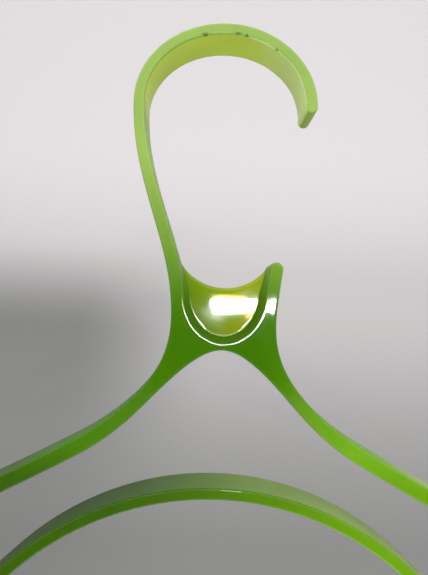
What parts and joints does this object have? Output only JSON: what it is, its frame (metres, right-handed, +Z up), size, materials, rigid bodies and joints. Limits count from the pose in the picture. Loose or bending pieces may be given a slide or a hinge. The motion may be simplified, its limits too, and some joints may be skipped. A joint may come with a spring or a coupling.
{
  "type": "clothes hanger",
  "caption": "Flat strip clothes hanger for a child's clothes: open hook, neck with a webbed pocket and prong for a second hanger, sloping shoulders and an arched lower rail.",
  "frame": {"origin": "where the top of a wardrobe rail meets the inside of the hook, at half the strip's depth", "axes": "+Z up when the hanger hangs, +X along the shoulders with the hook opening towards it, -Y out of the front face"},
  "size_m": [0.35, 0.0116, 0.1944],
  "materials": {
    "green_polypropylene": "glossy, translucent moulded polypropylene",
    "thin_green_polypropylene": "the same plastic in a thin panel, which lets more light through"
  },
  "bodies": {
    "root": {"hook_crown": "green_polypropylene", "hook_tip": "green_polypropylene", "hook_shank": "green_polypropylene", "link_prong": "green_polypropylene", "neck_yoke": "green_polypropylene", "pocket_web": "thin_green_polypropylene", "right_shoulder": "green_polypropylene", "left_shoulder": "green_polypropylene", "right_shoulder_end": "green_polypropylene", "left_shoulder_end": "green_polypropylene", "right_rail_sweep": "green_polypropylene", "left_rail_sweep": "green_polypropylene", "rail_crown": "green_polypropylene"}
  },
  "joints": []
}
